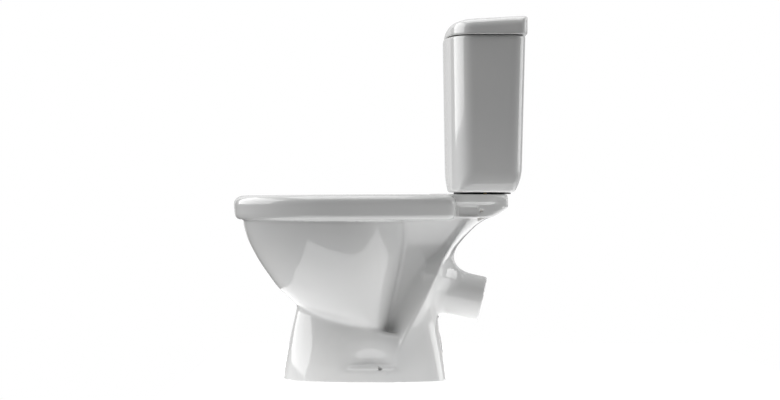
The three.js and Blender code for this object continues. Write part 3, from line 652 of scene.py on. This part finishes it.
class Fitting:
    """One small piece, built up from closed shells and dressed as the node that it replaces."""

    def __init__(self, node):
        self.node = node
        self.points = []
        self.faces = []

    def shell(self, points, faces):
        start = len(self.points)
        self.points += [tuple(p) for p in points]
        self.faces += [tuple(start + i for i in face) for face in faces]
        return self

    def turn(self, profile, at=(0, VALVE_Y), soft=0.5, segments=56, lobes=0, depth=0.0, place=None):
        """Turned shell; lobes scallops everything near its greatest radius."""
        outline = softened(profile, soft) if soft else profile
        closed = profile[0][0] > 0
        place = place or Matrix.Translation((at[0], at[1], 0))
        widest = max(r for r, z in outline)
        rings = []
        points = []
        for r, z in outline:
            if r == 0:
                rings.append([len(points)])
                points.append(place @ Vector((0, 0, z)))
                continue
            rings.append(range(len(points), len(points) + segments))
            for k in range(segments):
                angle = 2 * math.pi * k / segments
                scallop = depth * (0.5 - 0.5 * math.cos(lobes * angle)) if r > widest - 2 else 0
                reach = r - scallop
                points.append(place @ Vector((reach * math.cos(angle), reach * math.sin(angle), z)))
        faces = []
        for a, b in zip(rings, rings[1:] + rings[:1] if closed else rings[1:]):
            for k in range(segments):
                quad = (a[k % len(a)], a[(k + 1) % len(a)], b[(k + 1) % len(b)], b[k % len(b)])
                corners = tuple(dict.fromkeys(quad))
                if len(corners) > 2:
                    faces.append(corners)
        return self.shell(points, faces)

    def across(self, profile, centre, axis, **options):
        """Turned shell along X or Y through a centre; the profile's z runs along that axis."""
        lying = {"x": (math.pi / 2, 4, "Y"), "y": (-math.pi / 2, 4, "X")}[axis]
        place = Matrix.Translation(centre) @ Matrix.Rotation(*lying)
        return self.turn(profile, place=place, **options)

    def plate(self, low, high, soft=0.6, spin=0.0, about=(0, VALVE_Y)):
        """Bar with bevelled edges between two corners, turned about an upright axis."""
        bm = bmesh.new()
        bmesh.ops.create_cube(bm, size=1)
        size = [b - a for a, b in zip(low, high)]
        middle = [(a + b) / 2 for a, b in zip(low, high)]
        for v in bm.verts:
            v.co = Vector([c * s + m for c, s, m in zip(v.co, size, middle)])
        offset = min(soft, 0.4 * min(size))
        bmesh.ops.bevel(bm, geom=list(bm.edges), offset=offset, segments=3, profile=0.6, affect="EDGES")
        pivot = Vector((about[0], about[1], 0))
        swing = Matrix.Translation(pivot) @ Matrix.Rotation(spin, 4, "Z") @ Matrix.Translation(-pivot)
        points = [swing @ v.co for v in bm.verts]
        faces = [[v.index for v in f.verts] for f in bm.faces]
        bm.free()
        return self.shell(points, faces)

    def done(self):
        mesh = bpy.data.meshes.new(self.node + "_shape")
        mesh.from_pydata([Vector(p) * MM for p in self.points], [], self.faces)
        bm = bmesh.new()
        bm.from_mesh(mesh)
        bmesh.ops.recalc_face_normals(bm, faces=list(bm.faces))
        bm.to_mesh(mesh)
        bm.free()
        mesh.polygons.foreach_set("use_smooth", np.ones(len(mesh.polygons), bool))
        mesh.set_sharp_from_angle(angle=math.radians(42))
        piece = bpy.data.objects.new(self.node + "_shape", mesh)
        bpy.context.scene.collection.objects.link(piece)
        stands_for(piece, self.node)


def ring(inner, outer, low, high):
    """Outline of a plain ring."""
    return [(inner, low), (outer, low), (outer, high), (inner, high)]


def button_set():
    """Everything that rides on the lid: bezel, nut, the two half buttons and their rods."""
    bezel = [(19.6, 739), *ridges(20.8, 740, 764, 2, 0.7), (20.1, CUP_TOP + 0.2), (25.5, CUP_TOP + 0.3),
             (25.6, CUP_TOP + 1.2), (24.6, CUP_TOP + 2.6), (22.6, CUP_TOP + 3.6), (20.6, CUP_TOP + 3.6),
             (19.6, CUP_TOP + 2.8)]
    Fitting("button_bezel").turn(bezel, soft=0.35, segments=96).done()
    nut = Fitting("button_nut").turn(ring(21.1, 27, 751, 758.5), lobes=24, depth=0.7, segments=96)
    for k in range(4):
        nut.plate((24.5, VALVE_Y - 3.5, 751.2), (33, VALVE_Y + 3.5, 758.3), 1.2, k * math.pi / 2)
    nut.done()
    split_button("full_flush_button", 2.9, -1)
    split_button("half_flush_button", 3.5, 1)
    rod = [(0, 692.4), (2.1, 692.4), *ridges(2.5, 693, 735, 2, 0.3), (2.5, 757), (4, 758), (4, 762.7),
           (0, 762.7)]
    for name, x, y in (("full_flush_rod", -10, FULL_Y), ("half_flush_rod", 10, HALF_Y)):
        Fitting(name).turn(rod, (x, y), 0.4, 32).done()


def split_button(name, edge, side):
    """Part of a round push button beyond a straight split, with soft edges and a shallow dish."""
    levels = [(763, 0.6), (763.6, 0), (770.9, 0), (771.7, 0.35), (772.2, 0.9), (772.35, 1.8),
              (772.1, 3.4), (771.6, 5.2), (771.3, 6.4)]
    points = []
    count = 48
    for z, inset in levels:
        r, line = BUTTON_RADIUS - inset, edge + side * inset
        reach = math.acos(max(-1, min(1, side * line / r)))
        for k in range(count):
            angle = -reach + 2 * reach * k / (count - 1)
            points.append((side * r * math.cos(angle), VALVE_Y + r * math.sin(angle), z))
    faces = [tuple(range(count))]
    for level in range(len(levels) - 1):
        for k in range(count):
            a, b = level * count + k, level * count + (k + 1) % count
            faces.append((a, b, b + count, a + count))
    faces.append(tuple(range(len(points) - count, len(points))))
    Fitting(name).shell(points, faces).done()


def flush_valve():
    """Dual flush valve, from its base in the tank's floor up to the rockers, and the gasket below it."""
    base = [(25, 372), (28.2, 372), *ridges(29.6, 374, 416, 3, 1.1), (28.6, 418.2), (41, 418.2), (41, 423),
            (29, 423), (28, 427), (25, 427)]
    Fitting("flush_valve_base").turn(base, soft=0.5, segments=72).done()
    Fitting("flush_valve_washer").turn(ring(30.2, 41, 414.8, 417.9), soft=1, segments=72).done()
    backnut = [(30, 394), (37, 394), (43, 396), (43, 404.1), (30, 404.1)]
    Fitting("flush_valve_backnut").turn(backnut, lobes=12, depth=1.4, soft=0.8, segments=96).done()
    gasket = [(44, 392), (46, 392), (47, 394), (47, 399.5), (48.5, 401), (62, 401), (62, 404.1), (44, 404.1)]
    Fitting("coupling_gasket").turn(gasket, soft=1, segments=72).done()

    cage = Fitting("flush_valve_cage")
    cage.turn(ring(34.5, 40, 423.4, 431.4), segments=72).turn(ring(14.5, 40, 500, 505), segments=72)
    for k in range(4):
        spin = math.radians(45 + 90 * k)
        cage.plate((34, VALVE_Y - 6, 424), (38, VALVE_Y + 6, 504), 0.8, spin)
        cage.plate((37, VALVE_Y - 1, 431), (39.6, VALVE_Y + 1, 501), 0.5, spin)
    for side in (-1, 1):
        x = side * 34
        cage.plate((x - 3, VALVE_Y - 17, 502), (x + 3, VALVE_Y + 17, 696), 1)
        for z in range(540, 680, 28):
            cage.plate((x - 3.5, VALVE_Y - 14, z), (x + 3.5, VALVE_Y + 14, z + 2), 0.6)
        y = VALVE_Y + side * 15.5
        cage.plate((-34, y - 1.5, 682), (34, y + 1.5, 696), 0.8)
        cage.across(ring(2, 5.5, -1.9, 1.9), (0, y, ROCKER_Z), "y", segments=32)
    cage.done()
    pin = [(0, -18.5), (1.6, -18.5), (1.6, 18.5), (0, 18.5)]
    Fitting("valve_pivot_pin").across(pin, (0, VALVE_Y, ROCKER_Z), "y", soft=0.5, segments=24).done()

    for name, side, y in (("full_flush_rocker", 1, FULL_Y), ("half_flush_rocker", -1, HALF_Y)):
        rocker = Fitting(name).across(ring(1.9, 5, -3.5, 3.5), (0, y, ROCKER_Z), "y", segments=40)
        for a, b in ((-14.5, -3), (3, 17)):
            low, high = sorted((side * a, side * b))
            rocker.plate((low, y - 3.5, ROCKER_Z - 1), (high, y + 3.5, ROCKER_Z + 3), 0.8)
            rocker.plate((low + 0.8, y - 1, ROCKER_Z - 1.8), (high - 0.8, y + 1, ROCKER_Z - 0.4), 0.4)
        rocker.done()

    tube = Fitting("overflow_tube")
    tube.turn([(10.5, 431), (31, 431), (31, 434.5), (14, 435.5), (12.5, 438), (12.5, 652), (10.5, 652)],
              soft=0.6, segments=64)
    for k in range(6):
        tube.plate((12, VALVE_Y - 0.9, 434), (27, VALVE_Y + 0.9, 441), 0.5, k * math.pi / 3)
    tube.turn(ring(12.2, 16, 640, 646), soft=0.8)
    tube.plate((11, FULL_Y - 3, 640), (20.5, FULL_Y + 3, 646), 0.8)
    hook(tube, 1, FULL_Y, 642).done()
    seal = [(10.8, 427.5), (32.5, 427.5), (33.5, 429), (32.5, 430.7), (10.8, 430.7)]
    Fitting("flush_seal").turn(seal, soft=0.6, segments=72).done()
    half_float = [(12.9, 540), (23, 540), (25, 544), (25, 576), (15, 580), (12.9, 580)]
    Fitting("half_flush_float").turn(half_float, soft=1.5, segments=64).done()
    link = hook(Fitting("half_flush_link"), -1, HALF_Y, 600)
    link.plate((-30, HALF_Y - 3, 600), (-18, HALF_Y + 3, 603), 0.7).done()


def hook(fitting, side, y, foot):
    """Strap with a bar across its head, which rests over the end of a rocker."""
    for a, b, low in ((18, 20.5, foot), (12, 20.5, 692)):
        x0, x1 = sorted((side * a, side * b))
        fitting.plate((x0, y - 3, low), (x1, y + 3, 695), 0.7)
    x0, x1 = sorted((side * 19.5, side * 21))
    return fitting.plate((x0, y - 0.8, foot + 3), (x1, y + 0.8, 690), 0.4)


def fill_valve():
    """Bottom entry fill valve: riser and its fixings, head, lever, float and outlet tube."""
    at = (FILL_X, FILL_Y)
    riser = [(5.5, 362), (8.6, 362), *ridges(10.2, 364, 416, 1.8, 0.8), (9.4, 418.2), (15, 418.2),
             (15, 423), (9, 424), (9, 654.7), (5.5, 654.7)]
    Fitting("fill_valve_riser").turn(riser, at, 0.5, 40).done()
    Fitting("fill_valve_washer").turn(ring(10.8, 16, 414.8, 417.9), at, 0.9, 40).done()
    nut = Fitting("fill_valve_backnut").turn(ring(10.6, 17, 393, 401.3), at, 0.7, 96, 6, 1.9)
    nut.turn(ring(10.6, 19, 401, 404.1), at, 0.6, 48).done()
    mesh_plug = [(0, 366), *ridges(4.6, 366.5, 372, 1, 0.5), *ridges(3.6, 372, 386, 1, 0.5), (2.4, 388),
                 (0, 388)]
    Fitting("inlet_filter").turn(mesh_plug, at, 0.2, 32).done()
    head = Fitting("fill_valve_head")
    head.turn([(0, 655), (15, 655), (18, 659), (18, 680), (14, 684), (0, 684)], at, 1.5, 64)
    head.turn(ring(17, 18.4, 666, 671), at, 0.5, 96, 36, 0.5)
    arm = [(0, 10), (6, 10), (6, 37), (0, 37)]
    head.across(arm, (FILL_X, FILL_Y, 669), "x", soft=0.6, segments=40)
    head.turn([(0, 660), (7.5, 660), (7.5, 676), (0, 676)], (OUTLET_TUBE_X, FILL_Y), 1.5, 40)
    for side in (-1, 1):
        x = FILL_X + side * 7
        head.plate((x - 1.5, LEVER_Y - 6, 680), (x + 1.5, LEVER_Y + 6, 696), 0.9)
    head.done()
    lever = Fitting("fill_valve_lever")
    lever.across(ring(1.6, 4, -5, 5), (FILL_X, LEVER_Y, LEVER_Z), "x", segments=40)
    lever.plate((FILL_X - 4, 217, LEVER_Z - 2), (FILL_X + 4, 230, LEVER_Z + 2), 0.9)
    for x in (-3.9, 3):
        lever.plate((FILL_X + x, 236, LEVER_Z - 2), (FILL_X + x + 0.9, 263, LEVER_Z + 2), 0.3)
    for front, back in ((236, FLOAT_ROD_Y - 3.6), (FLOAT_ROD_Y + 3.6, 263)):
        lever.plate((FILL_X - 4, front, LEVER_Z - 1.8), (FILL_X + 4, back, LEVER_Z + 1.6), 0.7)
    lever.done()
    float_shell = [(11, 540), (29, 540), (29, 596), (25, 600), (11, 600)]
    float_piece = Fitting("fill_float").turn(float_shell, at, 2.5, 72)
    float_piece.turn(ring(28, 29.4, 566, 569), at, 0.5, 72).done()
    stem = [(0, 600.3), (1.5, 600.3), *ridges(1.5, 604, 682, 1.5, 0.2), (1.5, 697), (0, 697)]
    rod = Fitting("float_rod").turn(stem, (FILL_X, FLOAT_ROD_Y), 0.2, 24)
    rod.turn([(0, 684), (4, 684), (4, 687.8), (0, 687.8)], (FILL_X, FLOAT_ROD_Y), 0.6, 32)
    rod.plate((FILL_X - 5, 237, 600.3), (FILL_X + 5, 260, 603), 0.7).done()
    outlet = [(4.6, 440), (6, 440), *ridges(6, 600, 640, 4, 0.4), (6, 659.7), (4.6, 659.7)]
    Fitting("fill_outlet_tube").turn(outlet, (OUTLET_TUBE_X, FILL_Y), 0.3, 36).done()


def coupling_set(side, x):
    """One of the two bolts that hold the cistern on the shelf, with its washers and wing nut."""
    at = (x, BOLT_Y)
    bolt = Fitting("coupling_bolt_" + side)
    bolt.turn([(0, 352), (3, 352), *ridges(4, 353, 410, 1.6, 0.5), (4, 421), (0, 421)], at, 0.2, 32)
    bolt.turn([(0, 420.4), (9, 420.4), (9, 423), (7.6, 424), (0, 424)], at, 0.6, 48)
    for low, high in ((0.8, 7), (-7, -0.8)):
        bolt.plate((x - 4.6, BOLT_Y + low, 423.4), (x + 4.6, BOLT_Y + high, 425), 0.6)
    bolt.done()
    cone = [(4.4, 414.8), (12, 414.8), (12, 416.5), (9, 420.1), (4.4, 420.1)]
    Fitting("cone_washer_" + side).turn(cone, at, 0.8, 48).done()
    Fitting("rubber_washer_" + side).turn(ring(4.4, 14, 380.4, 383.4), at, 0.9, 48).done()
    Fitting("steel_washer_" + side).turn(ring(4.4, 12, 378.4, 380.1), at, 0.4, 48).done()
    nut = Fitting("wing_nut_" + side)
    nut.turn([(4.4, 368), (7, 368), (8.5, 378.1), (4.4, 378.1)], at, 0.8, 40)
    for low, high in ((5.5, 15), (-15, -5.5)):
        nut.plate((x - 2, BOLT_Y + low, 368), (x + 2, BOLT_Y + high, 377), 1.4)
    nut.done()


# ---------- camera, lights and floor ----------
def make_camera():
    data = bpy.data.cameras.new("camera")
    data.sensor_width = 36
    data.lens = 106.3
    camera = bpy.data.objects.new("camera", data)
    camera.location = (5.0, 0.025, 0.388)
    camera.rotation_euler = (math.pi / 2, 0, math.pi / 2)
    bpy.context.scene.collection.objects.link(camera)
    bpy.context.scene.camera = camera


def softbox(name, at, towards, size, power):
    data = bpy.data.lights.new(name, "AREA")
    data.shape = "RECTANGLE"
    data.size, data.size_y = size
    data.energy = power
    lamp = bpy.data.objects.new(name, data)
    lamp.location = at
    lamp.rotation_euler = (Vector(towards) - Vector(at)).to_track_quat("-Z", "Y").to_euler()
    bpy.context.scene.collection.objects.link(lamp)


def make_floor():
    """Pale board that glows a little, so that it is as white as the background."""
    n = Nodes("pale_floor")
    n.link(n.ramp(n.noise(2, 2), 0.27, 0.32), n.shader.inputs["Base Color"])
    n.shader.inputs["Roughness"].default_value = 0.8
    n.shader.inputs["Emission Color"].default_value = (1, 1, 1, 1)
    n.shader.inputs["Emission Strength"].default_value = 1.15
    mesh = bpy.data.meshes.new("floor")
    near, far, front, rear = 0.6, -1.2, -0.42, 0.9
    corners = [(far, front, 0), (near, front, 0), (near, rear, 0), (far, rear, 0)]
    mesh.from_pydata(corners, [], [(0, 1, 2, 3)])
    mesh.materials.append(n.material)
    floor = bpy.data.objects.new("floor", mesh)
    floor.location.z = -0.0005
    bpy.context.scene.collection.objects.link(floor)


def make_world():
    """Dim all round for the light, white for the eye."""
    world = bpy.data.worlds.new("studio")
    bpy.context.scene.world = world
    world.use_nodes = True
    tree = world.node_tree
    dim = tree.nodes["Background"]
    dim.inputs["Color"].default_value = (1, 1, 1, 1)
    dim.inputs["Strength"].default_value = 0.1
    white = tree.nodes.new("ShaderNodeBackground")
    white.inputs["Strength"].default_value = 1.0
    white.inputs["Color"].default_value = (1, 1, 1, 1)
    mix = tree.nodes.new("ShaderNodeMixShader")
    path = tree.nodes.new("ShaderNodeLightPath")
    tree.links.new(path.outputs["Is Camera Ray"], mix.inputs["Fac"])
    tree.links.new(dim.outputs["Background"], mix.inputs[1])
    tree.links.new(white.outputs["Background"], mix.inputs[2])
    tree.links.new(mix.outputs["Shader"], tree.nodes["World Output"].inputs["Surface"])


def light_studio():
    centre = (0, 0, 0.4)
    softbox("front_softbox", (-0.4, -2.8, 1.75), centre, (4.2, 2.7), 98)
    softbox("top_softbox", (0.1, 0.0, 2.4), centre, (2.0, 2.0), 31)
    softbox("far_softbox", (-2.2, 0.1, 1.2), centre, (3.4, 2.6), 14)
    softbox("rear_softbox", (-0.2, 2.6, 1.3), centre, (2.0, 2.0), 34)
    bpy.context.scene.view_settings.view_transform = "Standard"


# ---------- assembly ----------
make_camera()
dress_cad_nodes()
pan = implicit_piece("pan_china", pan_field, (-180, -316, -4), (180, 280, 402), PAN_STEP)
stands_for(pan, "pan")
tank = implicit_piece("cistern_china", cistern_field, (-185, 138, 402), (185, 312, 736), CISTERN_STEP, False)
stands_for(tank, "cistern")
lid = implicit_piece("lid_china", lid_field, (-190, 138, 731), (190, 317, 780), LID_STEP)
stands_for(lid, "cistern_lid")
button_set()
flush_valve()
fill_valve()
coupling_set("right", BOLT_X)
coupling_set("left", -BOLT_X)
make_floor()
make_world()
light_studio()
